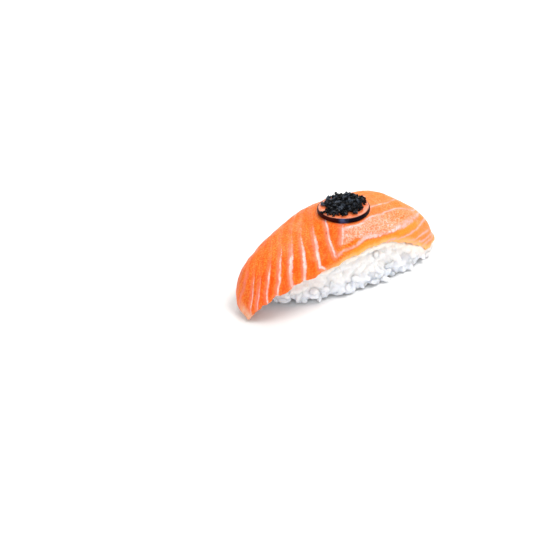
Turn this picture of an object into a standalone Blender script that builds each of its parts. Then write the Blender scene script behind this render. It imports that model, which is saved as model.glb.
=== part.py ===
"""Salmon nigiri: pressed rice, a draped salmon slice, a dark-skinned fruit slice, black crumbs."""
import math

import bpy
import numpy as np
from mathutils import Vector, noise
from mathutils.bvhtree import BVHTree

MM = 0.001
GAP = 0.35                    # clearance between neighbouring pieces, mm

# Salmon slice, mm: stations from the low left end to the right end.
# Each row: crest (x, y, z), front edge (x, y, z), back edge (x, y, z).
STATIONS = [
    ((-42.8, -1.0, 1.6), (-43.5, -4.9, 0.9), (-40.6, 4.0, 3.2)),
    ((-41.4, 0.0, 7.4), (-41.0, -7.4, 4.0), (-36.8, 8.2, 5.5)),
    ((-37.8, 0.0, 13.6), (-37.0, -10.4, 8.0), (-32.0, 10.6, 7.6)),
    ((-30.3, 0.0, 17.8), (-30.3, -13.4, 11.6), (-26.0, 12.2, 9.6)),
    ((-18.2, 0.0, 21.4), (-18.5, -15.2, 14.2), (-16.5, 14.6, 12.6)),
    ((-6.0, 0.0, 24.3), (-6.0, -15.6, 15.6), (-6.0, 15.8, 14.2)),
    ((6.0, 0.0, 24.9), (5.5, -15.6, 16.2), (6.0, 15.8, 14.4)),
    ((18.8, 0.0, 23.9), (14.5, -15.0, 13.1), (17.6, 14.6, 13.2)),
    ((27.8, 0.3, 18.4), (23.5, -12.5, 7.8), (26.0, 11.8, 8.6)),
    ((35.6, 0.9, 11.6), (31.6, -8.8, 2.8), (33.0, 8.4, 5.4)),
    ((40.6, 0.3, 3.0), (39.2, -3.4, 1.3), (39.4, 4.2, 2.8)),
]
SECTION_POWER = 2.6           # 2 is an ellipse, more is a flatter top
SLICE_THICKNESS = 4.0
TIP_THICKNESS = 0.28          # share of the thickness left at the two ends
TIP_TURN = 48.0               # degrees the section turns down at the two ends
SLICE_LENGTHWISE, SLICE_ACROSS = 40, 20

# Rice, mm: the base outline, the wider belly and the top before the slice presses on it.
BASE_CENTRE_X = 4.0
BASE_LEFT, BASE_RIGHT, BASE_HALF_WIDTH = 29.5, 31.5, 12.6
BELLY_LEFT, BELLY_RIGHT, BELLY_HALF_WIDTH = 41.5, 31.8, 13.4
BELLY_HEIGHT, RICE_TOP = 9.0, 26.0
LEFT_POWER, RIGHT_POWER = 2.0, 2.6
LUMP = 1.5
PRESS_MARGIN = 1.6            # width kept clear beside the edges of the slice
FOOT_GRAIN = Vector((-22.5, -7.5, 1.5))

# Fruit slice and crumbs, mm.
FRUIT_CENTRE = Vector((-1.1, -2.6, 26.75))
FRUIT_RADIUS, FRUIT_THICKNESS = 8.7, 1.4
FRUIT_RISE = 0.05             # climb to the right, mm per mm
FRUIT_SAG = 1.0               # droop of the front rim over the flank of the slice
CRUMB_RADIUS, CRUMB_RIM, CRUMB_HEIGHT = 7.6, 0.8, 3.7
CRUMB_SHIFT = Vector((0.2, 0.2, 0))


def smooth_rail(knots, count):
    """Cubic curve through the knots, sampled evenly in knot number."""
    knots = np.array(knots, float)
    slope = np.gradient(knots, axis=0)
    at = np.linspace(0, len(knots) - 1, count)
    i = np.minimum(at.astype(int), len(knots) - 2)
    t = (at - i)[:, None]
    a, b, ma, mb = knots[i], knots[i + 1], slope[i], slope[i + 1]
    return ((2 * t**3 - 3 * t**2 + 1) * a + (t**3 - 2 * t**2 + t) * ma
            + (3 * t**2 - 2 * t**3) * b + (t**3 - t**2) * mb)


def drape(count_u, count_v):
    """Outer face of the slice as an array of points [u, v, xyz] in mm."""
    crest, front, back = (smooth_rail([row[k] for row in STATIONS], count_u) for k in range(3))
    along = np.gradient(crest, axis=0)
    along /= np.linalg.norm(along, axis=1, keepdims=True)
    inward = np.stack([along[:, 2], 0 * along[:, 2], -along[:, 0]], -1)
    full_turn = np.radians(TIP_TURN + (90 - TIP_TURN) * tip_taper(count_u))[:, None]
    face = np.zeros((count_u, count_v, 3))
    for j, v in enumerate(np.linspace(-1, 1, count_v)):
        reach = (front if v < 0 else back) - crest
        drop = (reach * inward).sum(-1, keepdims=True) * inward
        out = section(abs(v) * full_turn)[0] / section(full_turn)[0]
        down = section(abs(v) * full_turn)[1] / section(full_turn)[1]
        face[:, j] = crest + (reach - drop) * out + drop * down
    return face


def section(turn):
    """How far out and down a rounded shoulder has gone after turning by this angle."""
    power = 2 / SECTION_POWER
    return np.sin(turn) ** power, 1 - np.maximum(np.cos(turn), 0) ** power


def tip_taper(count_u):
    """0 at the two ends of the slice, rising to 1 over the rest of it."""
    u = np.linspace(0, 1, count_u)
    rise = np.clip(np.minimum(u / 0.45, (1 - u) / 0.25), 0, 1)
    return rise * rise * (3 - 2 * rise)


def material(name, rgb, roughness):
    made = bpy.data.materials.new(name)
    made.use_nodes = True
    shader = made.node_tree.nodes["Principled BSDF"]
    shader.inputs["Base Color"].default_value = (*rgb, 1.0)
    shader.inputs["Roughness"].default_value = roughness
    made.diffuse_color = (*rgb, 1.0)
    return made


def finish(piece, name, collection, made=None):
    piece.name = piece.data.name = name
    for owner in list(piece.users_collection):
        owner.objects.unlink(piece)
    collection.objects.link(piece)
    if made:
        piece.data.materials.clear()
        piece.data.materials.append(made)
    return piece


def new_grid(count_u, count_v, points):
    """Grid primitive whose vertices are moved to points [u, v, xyz] in mm."""
    bpy.ops.mesh.primitive_grid_add(x_subdivisions=count_u - 1, y_subdivisions=count_v - 1, size=2)
    piece = bpy.context.active_object
    for vertex in piece.data.vertices:
        u = round((vertex.co.x + 1) / 2 * (count_u - 1))
        v = round((vertex.co.y + 1) / 2 * (count_v - 1))
        vertex.co = Vector(points[u, v]) * MM
    return piece


def make_salmon(collection):
    count_u, count_v = SLICE_LENGTHWISE + 1, SLICE_ACROSS + 1
    piece = new_grid(count_u, count_v, drape(count_u, count_v))
    taper = TIP_THICKNESS + (1 - TIP_THICKNESS) * tip_taper(count_u)
    group = piece.vertex_groups.new(name="thickness")
    for vertex in piece.data.vertices:
        group.add([vertex.index], float(taper[vertex.index % count_u]), "REPLACE")
    solid = piece.modifiers.new("thickness", "SOLIDIFY")
    solid.thickness = SLICE_THICKNESS * MM
    solid.offset = -1
    solid.vertex_group = "thickness"
    bpy.ops.object.modifier_apply(modifier=solid.name)
    return finish(piece, "salmon", collection, material("salmon_flesh", (0.90, 0.24, 0.06), 0.35))


def superellipse(angle):
    """Unit outline, rounder at the left end than at the right."""
    c, s = math.cos(angle), math.sin(angle)
    power = RIGHT_POWER if c > 0 else LEFT_POWER
    return math.copysign(abs(c) ** (2 / power), c), math.copysign(abs(s) ** (2 / power), s)


def reshaped_sphere(around, rows, shape):
    """Sphere primitive with each vertex moved to shape(angle, share) in mm; share runs pole to pole."""
    bpy.ops.mesh.primitive_uv_sphere_add(segments=around, ring_count=rows, radius=1)
    piece = bpy.context.active_object
    for vertex in piece.data.vertices:
        share = math.acos(max(-1.0, min(1.0, -vertex.co.z))) / math.pi
        vertex.co = shape(math.atan2(vertex.co.y, vertex.co.x), share) * MM
    return piece


def profile(share, foot, side):
    """Split share into a flat foot, a wall and a cap; returns (spread, wall, cap), each 0 to 1."""
    if share <= foot:
        return share / foot, 0.0, 0.0
    if share <= side:
        return 1.0, (share - foot) / (side - foot), 0.0
    cap = (share - side) / (1 - side)
    return 1 - cap, 1.0, cap


def underside(tree, x, y):
    """Lowest height of the slice within PRESS_MARGIN of (x, y), mm."""
    lowest = math.inf
    for k in range(13):
        reach = PRESS_MARGIN * (0 if k == 0 else 0.5 if k % 2 else 1)
        turn = k * math.pi / 6
        start = Vector((x + reach * math.cos(turn), y + reach * math.sin(turn), -5)) * MM
        hit = tree.ray_cast(start, Vector((0, 0, 1)))[0]
        if hit:
            lowest = min(lowest, hit.z / MM)
    return lowest


def rice_outline(angle, height):
    """Plan position of the rice wall at a height, before it is roughened."""
    swell = math.sin(min(height / BELLY_HEIGHT, 1.0) * math.pi / 2)
    ex, ey = superellipse(angle)
    left = BASE_LEFT + (BELLY_LEFT - BASE_LEFT) * swell
    right = BASE_RIGHT + (BELLY_RIGHT - BASE_RIGHT) * swell
    width = BASE_HALF_WIDTH + (BELLY_HALF_WIDTH - BASE_HALF_WIDTH) * swell
    return Vector((ex * (right if ex > 0 else left), ey * width, height))


def rice_point(angle, share, tree):
    """Flat foot, lumpy wall up to the edge of the slice, then the top pressed under the slice."""
    spread, wall, cap = profile(share, 0.2, 0.6)
    point = rice_outline(angle, 15.0 * wall)
    room = underside(tree, point.x + BASE_CENTRE_X, point.y)
    lump = LUMP * noise.noise(point / 3.0) * min(1.0, 4 * (1 - wall) + 0.4, (room / 10) ** 2)
    near = max(0.0, 1 - (point + Vector((BASE_CENTRE_X, 0, 0)) - FOOT_GRAIN).length / 4)
    point.xy *= spread * (1 + (lump + 1.8 * near) / point.xy.length)
    point.x += BASE_CENTRE_X
    if wall > 0:
        limit = underside(tree, point.x, point.y) - GAP
        point.z = min(limit, RICE_TOP) if cap > 0 else wall * min(limit, 15.0)
    return point


def make_rice(collection, salmon):
    tree = BVHTree.FromPolygons([v.co for v in salmon.data.vertices],
                                [p.vertices for p in salmon.data.polygons])
    piece = reshaped_sphere(56, 30, lambda angle, share: rice_point(angle, share, tree))
    return finish(piece, "rice", collection, material("cooked_rice", (0.83, 0.81, 0.79), 0.4))


def fruit_height(x, y):
    """Height of the top of the fruit slice, mm: climbs to the right, droops down the flank."""
    return FRUIT_CENTRE.z + FRUIT_RISE * (x - FRUIT_CENTRE.x) - FRUIT_SAG * (y / 12) ** 2


def fruit_point(angle, share):
    spread, wall, cap = profile(share, 0.38, 0.62)
    radius = FRUIT_RADIUS * spread - 0.25 * (1 - math.sin(wall * math.pi)) * spread
    x = FRUIT_CENTRE.x + radius * math.cos(angle)
    y = FRUIT_CENTRE.y + radius * math.sin(angle)
    return Vector((x, y, fruit_height(x, y) - FRUIT_THICKNESS * (1 - wall)))


def crumb_point(angle, share):
    """Uneven low heap standing just above the fruit slice."""
    spread, wall, cap = profile(share, 0.3, 0.45)
    ragged = noise.noise(Vector((math.cos(angle), math.sin(angle), 0)) * 3.0)
    radius = CRUMB_RADIUS * (1 + 0.12 * ragged) * spread
    x = FRUIT_CENTRE.x + CRUMB_SHIFT.x + radius * math.cos(angle)
    y = FRUIT_CENTRE.y + CRUMB_SHIFT.y + radius * math.sin(angle)
    rise = CRUMB_RIM * wall + (CRUMB_HEIGHT - CRUMB_RIM) * (1 - (1 - cap) ** 1.6)
    if wall > 0.5:
        rise += 0.55 * noise.noise(Vector((x, y, 0)) / 1.6)
    return Vector((x, y, fruit_height(x, y) + GAP + max(rise, 0.0)))


def make_fruit(collection):
    piece = reshaped_sphere(40, 10, fruit_point)
    return finish(piece, "fruit_slice", collection, material("fruit_flesh", (0.72, 0.17, 0.05), 0.25))


def make_crumbs(collection):
    piece = reshaped_sphere(40, 16, crumb_point)
    return finish(piece, "crumbs", collection, material("black_crumb", (0.01, 0.01, 0.012), 0.4))


def stand_on_origin(pieces):
    """Shift every mesh so the middle of the underside of the whole is the origin."""
    corners = np.array([v.co for piece in pieces for v in piece.data.vertices])
    low, high = corners.min(0), corners.max(0)
    shift = Vector((-(low[0] + high[0]) / 2, -(low[1] + high[1]) / 2, -low[2]))
    for piece in pieces:
        for vertex in piece.data.vertices:
            vertex.co += shift
    return shift


def main():
    for old in list(bpy.data.objects):
        bpy.data.objects.remove(old, do_unlink=True)
    nigiri = bpy.data.collections.new("salmon_nigiri")
    bpy.context.scene.collection.children.link(nigiri)
    salmon = make_salmon(nigiri)
    pieces = [make_rice(nigiri, salmon), salmon, make_fruit(nigiri), make_crumbs(nigiri)]
    stand_on_origin(pieces)


main()
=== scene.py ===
"""Salmon nigiri: pressed rice grains, a draped salmon slice, a dark-skinned fruit slice, black crumbs."""
import math
import random

import bmesh
import bpy
import numpy as np
from bpy.props import FloatProperty, FloatVectorProperty, IntProperty, PointerProperty
from mathutils import Matrix, Vector, noise
from mathutils.bvhtree import BVHTree


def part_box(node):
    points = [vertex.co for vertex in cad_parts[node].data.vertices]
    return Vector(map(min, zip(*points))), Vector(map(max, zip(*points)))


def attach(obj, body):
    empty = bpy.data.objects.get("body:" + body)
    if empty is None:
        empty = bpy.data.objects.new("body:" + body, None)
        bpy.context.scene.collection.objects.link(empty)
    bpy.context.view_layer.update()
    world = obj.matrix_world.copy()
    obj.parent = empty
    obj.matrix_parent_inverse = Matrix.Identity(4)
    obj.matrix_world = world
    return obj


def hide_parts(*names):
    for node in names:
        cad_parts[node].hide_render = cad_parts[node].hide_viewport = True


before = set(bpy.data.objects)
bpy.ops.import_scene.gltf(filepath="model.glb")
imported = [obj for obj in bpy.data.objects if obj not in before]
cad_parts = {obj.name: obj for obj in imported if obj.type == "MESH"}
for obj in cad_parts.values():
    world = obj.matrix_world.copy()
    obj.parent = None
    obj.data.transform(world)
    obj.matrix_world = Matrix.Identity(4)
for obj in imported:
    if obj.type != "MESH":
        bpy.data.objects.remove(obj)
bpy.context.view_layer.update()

bl_info = {
    "name": "Salmon Nigiri",
    "version": (1, 0, 0),
    "blender": (4, 5, 0),
    "location": "View3D > Sidebar > Nigiri",
    "description": "Builds a salmon nigiri around its solid model",
    "category": "Object",
}

MM = 0.001


# ---------------------------------------------------------------- shapes shared by the pieces

# Salmon slice, mm: stations from the low left end to the right end.
# Each row: crest (x, y, z), front edge (x, y, z), back edge (x, y, z).
STATIONS = [
    ((-42.8, -1.0, 1.6), (-43.5, -4.9, 0.9), (-40.6, 4.0, 3.2)),
    ((-41.4, 0.0, 7.4), (-41.0, -7.4, 4.0), (-36.8, 8.2, 5.5)),
    ((-37.8, 0.0, 13.6), (-37.0, -10.4, 8.0), (-32.0, 10.6, 7.6)),
    ((-30.3, 0.0, 17.8), (-30.3, -13.4, 11.6), (-26.0, 12.2, 9.6)),
    ((-18.2, 0.0, 21.4), (-18.5, -15.2, 14.2), (-16.5, 14.6, 12.6)),
    ((-6.0, 0.0, 24.3), (-6.0, -15.6, 15.6), (-6.0, 15.8, 14.2)),
    ((6.0, 0.0, 24.9), (5.5, -15.6, 16.2), (6.0, 15.8, 14.4)),
    ((18.8, 0.0, 23.9), (14.5, -15.0, 13.1), (17.6, 14.6, 13.2)),
    ((27.8, 0.3, 18.4), (23.5, -12.5, 7.8), (26.0, 11.8, 8.6)),
    ((35.6, 0.9, 11.6), (31.6, -8.8, 2.8), (33.0, 8.4, 5.4)),
    ((40.6, 0.3, 3.0), (39.2, -3.4, 1.3), (39.4, 4.2, 2.8)),
]
SECTION_POWER = 2.6
SLICE_THICKNESS = 4.0
TIP_THICKNESS = 0.28
TIP_TURN = 48.0
FRUIT_CENTRE = Vector((-1.1, -2.6, 27.1))
FRUIT_RADIUS, FRUIT_THICKNESS = 8.75, 1.65
FRUIT_RISE, FRUIT_SAG = 0.05, 0.35
CRUMB_PEAK = Vector((4.3, 2.2, 0))
# How far the crumb heap reaches from the middle of the fruit slice, by direction: degrees, mm.
CRUMB_REACH = ((-180, 7.0), (-172, 8.0), (-164, 6.6), (-157, 7.4), (-150, 6.8), (-142, 5.0), (-134, 7.2), (-126, 7.0),
               (-118, 4.6), (-102, 4.6), (-97, 6.9), (-90, 7.2), (-80, 5.8), (-68, 6.3), (-40, 6.3), (-25, 7.2), (-10, 8.5),
               (20, 8.2), (60, 8.2), (85, 8.0), (106, 6.9), (120, 6.9), (129, 7.9), (137, 6.8), (150, 5.2), (162, 5.2),
               (170, 7.4), (176, 8.6), (180, 7.0))
CRUMB_SHAPES = 10


def step(value, low, high):
    """0 below low, 1 above high, smooth between; low may be the larger."""
    t = np.clip((value - low) / (high - low), 0, 1)
    return t * t * (3 - 2 * t)


def smooth_rail(knots, count):
    """Cubic curve through the knots, sampled evenly in knot number."""
    knots = np.array(knots, float)
    slope = np.gradient(knots, axis=0)
    at = np.linspace(0, len(knots) - 1, count)
    i = np.minimum(at.astype(int), len(knots) - 2)
    t = (at - i)[:, None]
    a, b, ma, mb = knots[i], knots[i + 1], slope[i], slope[i + 1]
    return ((2 * t**3 - 3 * t**2 + 1) * a + (t**3 - 2 * t**2 + t) * ma
            + (3 * t**2 - 2 * t**3) * b + (t**3 - t**2) * mb)


def section(turn):
    """How far out and down a rounded shoulder has gone after turning by this angle."""
    power = 2 / SECTION_POWER
    return np.sin(turn) ** power, 1 - np.maximum(np.cos(turn), 0) ** power


def tip_taper(count_u):
    """0 at the two ends of the slice, rising to 1 over the rest of it."""
    u = np.linspace(0, 1, count_u)
    rise = np.clip(np.minimum(u / 0.45, (1 - u) / 0.25), 0, 1)
    return rise * rise * (3 - 2 * rise)


def drape(count_u, count_v):
    """Outer face of the slice as an array of points [u, v, xyz] in mm, before centring."""
    crest, front, back = (smooth_rail([row[k] for row in STATIONS], count_u) for k in range(3))
    along = np.gradient(crest, axis=0)
    along /= np.linalg.norm(along, axis=1, keepdims=True)
    inward = np.stack([along[:, 2], 0 * along[:, 2], -along[:, 0]], -1)
    full_turn = np.radians(TIP_TURN + (90 - TIP_TURN) * tip_taper(count_u))[:, None]
    face = np.zeros((count_u, count_v, 3))
    for j, v in enumerate(np.linspace(-1, 1, count_v)):
        reach = (front if v < 0 else back) - crest
        drop = (reach * inward).sum(-1, keepdims=True) * inward
        out = section(abs(v) * full_turn)[0] / section(full_turn)[0]
        down = section(abs(v) * full_turn)[1] / section(full_turn)[1]
        face[:, j] = crest + (reach - drop) * out + drop * down
    return face


def centring():
    """Shift in mm from the drawing's own axes to the frame of the solid model."""
    low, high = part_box("fruit_slice")
    middle = (low + high) / 2 / MM
    return Vector((middle.x - FRUIT_CENTRE.x, middle.y - FRUIT_CENTRE.y, 0))


SHIFT = centring()


def face_normals(face):
    normal = np.cross(np.gradient(face, axis=0), np.gradient(face, axis=1))
    return normal / np.maximum(np.linalg.norm(normal, axis=-1, keepdims=True), 1e-9)


def deselect():
    bpy.ops.object.select_all(action="DESELECT")


def new_grid(name, points):
    """Grid primitive whose vertices are moved to points [u, v, xyz] in mm; returns it and the u, v indices."""
    count_u, count_v = points.shape[:2]
    deselect()
    bpy.ops.mesh.primitive_grid_add(x_subdivisions=count_u - 1, y_subdivisions=count_v - 1, size=2)
    piece = bpy.context.active_object
    piece.name = piece.data.name = name
    flat = np.empty(len(piece.data.vertices) * 3, np.float32)
    piece.data.vertices.foreach_get("co", flat)
    at = flat.reshape(-1, 3)
    iu = np.rint((at[:, 0] + 1) / 2 * (count_u - 1)).astype(int)
    iv = np.rint((at[:, 1] + 1) / 2 * (count_v - 1)).astype(int)
    piece.data.vertices.foreach_set("co", (points[iu, iv] * MM).astype(np.float32).ravel())
    piece.data.update()
    return piece, iu, iv


def reshaped_sphere(name, around, rows, shape):
    """Sphere primitive with each vertex moved to shape(angle, share) in mm; share runs pole to pole."""
    deselect()
    bpy.ops.mesh.primitive_uv_sphere_add(segments=around, ring_count=rows, radius=1)
    piece = bpy.context.active_object
    piece.name = piece.data.name = name
    for vertex in piece.data.vertices:
        share = math.acos(max(-1.0, min(1.0, -vertex.co.z))) / math.pi
        vertex.co = (shape(math.atan2(vertex.co.y, vertex.co.x), share) + SHIFT) * MM
    bpy.ops.object.shade_smooth()
    return piece


def point_values(piece, name, values):
    """Store one number per vertex for the material to read."""
    layer = piece.data.attributes.new(name, "FLOAT", "POINT")
    layer.data.foreach_set("value", np.asarray(values, np.float32).ravel())


def join_copies(name, models, placings):
    """One piece from many copies of small models; placings are (model number, 4x4 matrix)."""
    deselect()
    for number, matrix in placings:
        copy = models[number].copy()
        copy.data = models[number].data.copy()
        copy.data.transform(matrix)
        bpy.context.scene.collection.objects.link(copy)
        copy.select_set(True)
    for model in models:
        bpy.data.objects.remove(model, do_unlink=True)
    piece = bpy.context.selected_objects[0]
    bpy.context.view_layer.objects.active = piece
    bpy.ops.object.join()
    piece.name = piece.data.name = name
    return piece


def settle(piece, slot, made, *nodes):
    """Material, ride and stand-in for a finished piece."""
    piece.data.materials.clear()
    piece.data.materials.append(made)
    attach(piece, "root")
    if nodes:
        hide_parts(*nodes)
    return piece


def smooth(piece):
    piece.data.polygons.foreach_set("use_smooth", [True] * len(piece.data.polygons))
    piece.data.update()


# ---------------------------------------------------------------- material building

class Value:
    """A number in a material; arithmetic on it adds Math nodes."""

    def __init__(self, finish, socket):
        self.finish, self.socket = finish, socket

    def math(self, operation, *others):
        return self.finish.node("ShaderNodeMath", {"operation": operation}, (self, *others))

    def __add__(self, other):
        return self.math("ADD", other)

    def __sub__(self, other):
        return self.math("SUBTRACT", other)

    def __rsub__(self, other):
        return self.finish.node("ShaderNodeMath", {"operation": "SUBTRACT"}, (other, self))

    def __mul__(self, other):
        return self.math("MULTIPLY", other)

    def __pow__(self, other):
        return self.math("POWER", other)

    __radd__, __rmul__ = __add__, __mul__

    def between(self, low, high, to_low=0.0, to_high=1.0):
        """Smooth step from to_low at low to to_high at high."""
        return self.finish.node("ShaderNodeMapRange", {"interpolation_type": "SMOOTHSTEP"},
                                (self, low, high, to_low, to_high))


class Finish:
    """A material under construction round one Principled shader."""

    def __init__(self, name, **constants):
        self.material = bpy.data.materials.new(name)
        self.material.use_nodes = True
        self.tree = self.material.node_tree
        self.shader = self.tree.nodes["Principled BSDF"]
        self.set(**constants)

    def set(self, **inputs):
        """Set or link shader sockets; underscores in the names stand for spaces."""
        for name, value in inputs.items():
            self.feed(self.shader.inputs[name.replace("_", " ")], value)

    def feed(self, socket, value):
        if isinstance(value, Value):
            self.tree.links.new(value.socket, socket)
        else:
            socket.default_value = value

    def node(self, kind, settings=None, inputs=(), output=0):
        made = self.tree.nodes.new(kind)
        for name, value in (settings or {}).items():
            setattr(made, name, value)
        pairs = inputs.items() if isinstance(inputs, dict) else enumerate(inputs)
        for key, value in pairs:
            self.feed(made.inputs[key], value)
        return Value(self, made.outputs[output])

    def mix(self, low, high, factor):
        return self.node("ShaderNodeMix", {"data_type": "RGBA"}, {0: factor, 6: low, 7: high}, 2)

    def place(self):
        return self.node("ShaderNodeTexCoord", output="Object")

    def read(self, name):
        """A number stored on the piece's vertices."""
        return self.node("ShaderNodeAttribute", {"attribute_name": name}, output="Fac")

    def grain(self, per_metre, detail=2.0, where=None, rough=0.5):
        """Noise from 0 to 1 whose features are about 1 / per_metre wide."""
        return self.node("ShaderNodeTexNoise", {}, {"Vector": where or self.place(), "Scale": per_metre,
                                                    "Detail": detail, "Roughness": rough})

    def bump(self, height, distance, strength=1.0, normal=None):
        inputs = {"Height": height, "Distance": distance, "Strength": strength}
        if normal:
            inputs["Normal"] = normal
        return self.node("ShaderNodeBump", {}, inputs)


def colour(r, g, b):
    return (r, g, b, 1.0)


# ---------------------------------------------------------------- salmon slice

# Fat lines on the unrolled slice, mm: distance along the crest from the left end, distance across
# from the crest (front negative). Each line comes over the back, runs down the front to its bend,
# and from there along the slice to the right end; where it leaves the slice it passes outside.
# After the knots: the knot at the bend, then strength, half-width and pink margin of the part
# before the bend, and strength and half-width of the part after it.
FAT_LINES = [
    (((82, 22), (76, 17), (74, 15.5), (78, 17), (84, 22)), 2, 0.3, 0.3, 0.2, 0.25, 0.3),
    (((78, 21), (71, 13), (68, 10), (72, 9.5), (80, 14), (86, 21)), 2, 0.3, 0.3, 0.2, 0.25, 0.3),
    (((74, 21), (67, 11), (62, 5), (61, 2.5), (65, 2), (72, 4.5), (81, 9.5), (90, 17)), 3, 0.3, 0.3, 0.2,
     0.22, 0.35),
    (((70, 20), (63, 10), (57, 3), (54, -2), (54.5, -5.5), (58, -6.5), (61, -6.5), (63.3, -5.7), (65.5, -4.9),
      (69.7, -4.9), (72.2, -4), (78.5, -1.4), (85, 2.5), (91, 7), (98, 13)), 4, 0.3, 0.3, 0.2, 0.72, 0.36),
    (((68, 19), (61, 10), (55.5, 4), (51, -1), (48.2, -6), (46.2, -10.4), (48.6, -11.8), (50.6, -12.6),
      (53.6, -12), (57, -11.2), (61.2, -10.7), (65.3, -9.6), (73.8, -9), (80, -7), (88, -1), (96, 6)), 5,
     0.3, 0.3, 0.3, 0.72, 0.33),
    (((67, 20), (60, 11), (54, 4), (50, -1), (47.4, -6), (46.3, -9.8), (45, -12), (43.4, -14.3), (46, -15.2),
      (54, -14.6), (63, -14), (71, -12), (80, -7.6), (88, -1.6), (96, 5)), 7, 0.62, 0.34, 1.1, 0, 0.4),
    (((64, 20), (56, 12), (50, 6), (46.5, 1.5), (44.4, -2.8), (42, -7.6), (40.2, -11.5), (39.5, -14.6),
      (39.4, -16.4), (42.7, -16.2), (46, -16.7), (51, -16.6), (57.4, -16.9), (65.7, -16.6), (70, -16),
      (73.2, -14.5), (77, -11.7), (85, -5.5), (90, -1.8), (96, 4)), 8, 0.85, 0.34, 1.0, 0.8, 0.42),
    (((60, 21), (54, 14), (49, 9), (43.8, 3.4), (40, -1.3), (37.7, -5.9), (34.8, -11.1), (32.7, -15.8), (34, -18),
      (36, -24), (50, -26), (58, -22.5), (61.2, -20.2), (69.2, -20.2), (73.6, -19.2), (76.1, -17), (79.7, -13.6),
      (86.2, -8.2), (91.4, -4), (98, 1)), 8, 0.9, 0.44, 1.0, 0.60, 0.42),
    (((58, 21), (52, 16), (46.9, 11), (41.8, 6.3), (37.3, 1.9), (34, -2.7), (29.4, -11), (26.4, -15.6), (26, -19),
      (32, -28), (55, -29), (66, -23.5), (69.7, -21.8), (75.7, -20.9), (79, -18.8), (81.5, -16.2), (87.2, -11.9),
      (94, -6), (99, -2)), 9, 1.0, 0.44, 1.0, 0.50, 0.48),
    (((52, 20), (44, 12), (38.9, 7.3), (35, 3.8), (31.3, -0.7), (28.5, -4.8), (23.7, -10.8), (21.3, -14.8),
      (22.5, -18), (28, -32), (60, -32), (74, -23.5), (78, -21.2), (81.5, -19), (86.4, -15.4), (90, -12.2),
      (94.6, -7.7), (99, -4.5)), 9, 1.0, 0.50, 1.3, 0.48, 0.48),
    (((44, 18), (38.5, 11.5), (34, 7.4), (30.6, 4.1), (28, 1.1), (25.9, -1.9), (21.4, -7.6), (18.3, -10.9),
      (15.8, -13), (14, -17), (30, -40), (78, -34), (83, -21.5), (86.4, -17.7), (89.2, -15), (93, -11.5),
      (98.4, -6)), 10, 0.9, 0.32, 0.9, 0.42, 0.5),
    (((38, 17), (33, 11), (28.2, 6.5), (25.5, 3.1), (23.3, 0.3), (21, -2.5), (18, -5.8), (15.2, -8.6),
      (11.3, -10.8), (7, -14)), 9, 0.85, 0.32, 0.6, 0, 1),
    (((33, 15), (27, 9), (22.9, 4.9), (20.8, 2.4), (17.5, -1.8), (14.4, -5.1), (11.4, -7.3), (7.8, -8), (4, -9)),
     8, 0.6, 0.30, 1.0, 0, 1),
    (((26, 13), (21, 7), (17.2, 1.7), (14.9, -0.5), (12.6, -2.6), (10.5, -4.3), (7.8, -5.2), (3, -5.5), (0, -6)),
     8, 0.8, 0.25, 0.8, 0, 1),
    (((21, 11), (16, 5), (13.2, 1.5), (10.4, 0.2), (7.9, -0.3), (4.8, 0.2), (2.7, 0.6), (-1, 1.5)), 7,
     0.2, 0.30, 1.0, 0, 1),
    (((17, 12), (14, 7), (11.7, 4.4), (8.7, 3.9), (6.2, 3.1), (2, 3), (-1, 4)), 6, 0.15, 0.3, 0.6, 0, 1),
]
# Outline of the grainy flesh between the long lines, mm: its upper edge and its foot, along and across.
GRAINY_TOP = ((44, -8.8), (46.4, -10.4), (50.6, -12.4), (53.6, -11.8), (61, -10.5), (74, -8.8), (80, -6.8), (96, 6.5))
GRAINY_FOOT = ((44, -14.7), (48, -15.2), (51, -16.6), (55, -17), (66, -16.8), (73, -14.5), (77, -11.7), (85, -5.5),
               (96, 4))
# Above this edge the grainy flesh thins out toward the right end.
GRAINY_THIN = ((44, -5), (56, -8), (60, -10.6), (66, -12.8), (70, -14.4), (75, -13.5), (82, -8), (96, 5))
# The crease line and the last line that reaches the crest.
CREASE, LAST_LONG = 6, 11
# How the lengthwise crease line changes along the slice, mm: strength, half-width, whiteness; the whiteness paints the
# crease's glints as well as its white fat.
CREASE_RUN = ((38, 0.50, 0.8, 0.0), (44, 0.45, 0.6, 0.1), (49, 0.60, 0.55, 0.3), (52.5, 0.95, 0.46, 0.9),
              (55, 0.95, 0.42, 0.9), (59, 0.75, 0.42, 0.5), (63, 0.85, 0.48, 0.8), (67, 0.90, 0.60, 0.8),
              (70, 0.62, 0.95, 0.35), (74, 0.58, 1.15, 0.1), (77, 0.58, 0.85, 0.0), (82, 0.60, 0.55, 0.0),
              (96, 0.45, 0.45, 0.0))
LINE_SAMPLES = 140
PINK_OFFSET = 0.55


def unrolled(face):
    """Distance along the crest and distance across from it, in mm, for every point of the face."""
    middle = face.shape[1] // 2
    steps = np.linalg.norm(np.diff(face[:, middle], axis=0), axis=1)
    along = np.concatenate([[0], np.cumsum(steps)])
    steps = np.linalg.norm(np.diff(face, axis=1), axis=2)
    across = np.concatenate([np.zeros((len(face), 1)), np.cumsum(steps, axis=1)], 1)
    return np.repeat(along[:, None], face.shape[1], 1), across - across[:, [middle]]


def wander(along, across, size, seed):
    """Slow noise over the unrolled slice, about -0.5 to 0.5."""
    flat = np.stack([along.ravel() / size, across.ravel() / size], -1)
    return np.array([noise.noise(Vector((a, b, seed))) for a, b in flat]).reshape(along.shape)


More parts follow.
